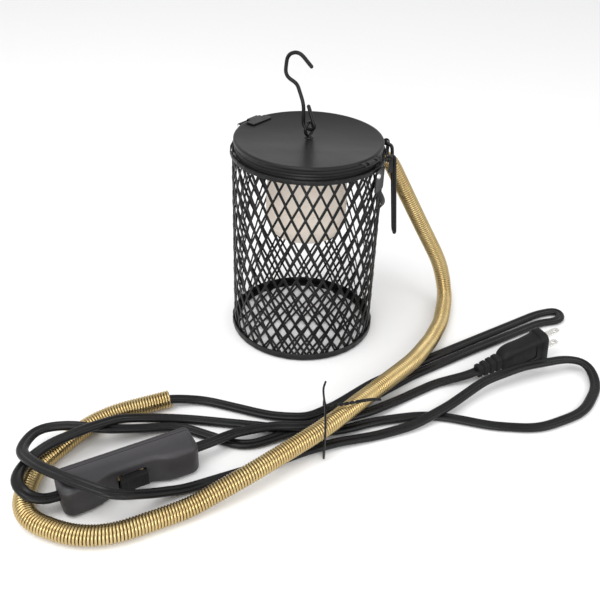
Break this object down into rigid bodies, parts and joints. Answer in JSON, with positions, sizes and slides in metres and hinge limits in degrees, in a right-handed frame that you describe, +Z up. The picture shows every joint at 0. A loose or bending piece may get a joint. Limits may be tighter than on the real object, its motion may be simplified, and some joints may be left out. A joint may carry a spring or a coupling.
{
  "type": "heat lamp fixture",
  "caption": "Caged heat lamp holder with a mesh guard, hinged lid, ceramic lamp holder, hook, sprung cord sleeve, inline switch and plug.",
  "frame": {"origin": "centre of the guard's floor, on its underside", "axes": "+Z up along the guard's axis, towards the hook; -Y towards the side where the cord lies; +X towards the latch"},
  "size_m": [0.4439, 0.3305, 0.2411],
  "materials": {
    "black_paint": "satin black powder coat",
    "ceramic": "unglazed beige ceramic",
    "zinc_gold": "yellow zinc plated spring steel",
    "bright_steel": "bright zinc plated steel",
    "brass": "plain brass",
    "black_plastic": "fine matte texture",
    "cord_rubber": "satin flexible cord jacket"
  },
  "bodies": {
    "guard": {"cage_wall": "black_paint", "cage_floor": "black_paint", "bottom_ring": "black_paint", "top_band": "black_paint", "collar": "black_paint", "hinge_lower_leaf": "black_paint", "hinge_pin": "black_paint", "hinge_rivet_a": "black_paint", "hinge_rivet_b": "black_paint", "latch_ear_front": "black_paint", "latch_ear_rear": "black_paint", "latch_plate": "black_paint", "latch_tongue": "black_paint", "sleeve_bush": "black_paint", "spring_sleeve": "zinc_gold", "latch_rivet": "bright_steel", "sleeve_ferrule": "bright_steel", "switch_screw_a": "bright_steel", "switch_screw_b": "bright_steel", "plug_blade_upper": "bright_steel", "plug_blade_lower": "bright_steel", "switch_terminal_a": "brass", "switch_terminal_b": "brass", "switch_cover": "black_plastic", "switch_base": "black_plastic", "plug_body": "black_plastic", "lamp_cord": "cord_rubber", "plug_cord": "cord_rubber", "cord_tie": "cord_rubber"},
    "lid": {"lid_plate": "black_paint", "lid_keeper": "black_paint", "hinge_upper_leaf": "black_paint", "eye_bolt": "black_paint", "eye_nut": "bright_steel", "eye_washer": "bright_steel", "holder_strap": "bright_steel", "holder_screw_a": "bright_steel", "holder_screw_b": "bright_steel", "lamp_holder": "ceramic", "screw_shell": "brass", "holder_terminal_a": "brass", "holder_terminal_b": "brass", "terminal_screw_a": "bright_steel", "terminal_screw_b": "bright_steel", "lamp_lead": "cord_rubber"},
    "hook": {"hanging_hook": "black_paint"},
    "bail": {"latch_bail": "black_paint"},
    "rocker": {"switch_rocker": "black_plastic"},
    "contact_bridge": {"switch_contact": "brass"},
    "lamp_contact": {"centre_contact": "brass"}
  },
  "joints": [
    {"name": "lid_hinge", "type": "hinge", "parent": "guard", "child": "lid", "pos_m": [-0.04992, 0.03761, 0.1725], "axis": [-0.6018, -0.7986, 0], "range_deg": [0, 100], "deforming": ["lamp_lead"]},
    {"name": "hook_swing", "type": "hinge", "parent": "lid", "child": "hook", "pos_m": [0, 0, 0.1882], "axis": [0.5736, 0.8192, 0], "range_deg": [-50, 80]},
    {"name": "bail_swing", "type": "hinge", "parent": "guard", "child": "bail", "pos_m": [0.0628, 0, 0.1695], "axis": [0, -1, 0], "range_deg": [0, 110]},
    {"name": "rocker_tip", "type": "hinge", "parent": "guard", "child": "rocker", "pos_m": [-0.10994, -0.21589, 0.0129], "axis": [0, 0, 1], "range_deg": [0, 8]},
    {"name": "bridge_tip", "type": "hinge", "parent": "guard", "child": "contact_bridge", "pos_m": [-0.11273, -0.21115, 0.0129], "axis": [0, 0, 1], "range_deg": [-8, 0]},
    {"name": "contact_press", "type": "slide", "parent": "lid", "child": "lamp_contact", "axis": [0, 0, 1], "range_m": [0, 0.0015], "stiffness_N_per_m": 2000}
  ],
  "couplings": [
    {"joint": "bridge_tip", "follows": "rocker_tip", "ratio": -1}
  ]
}
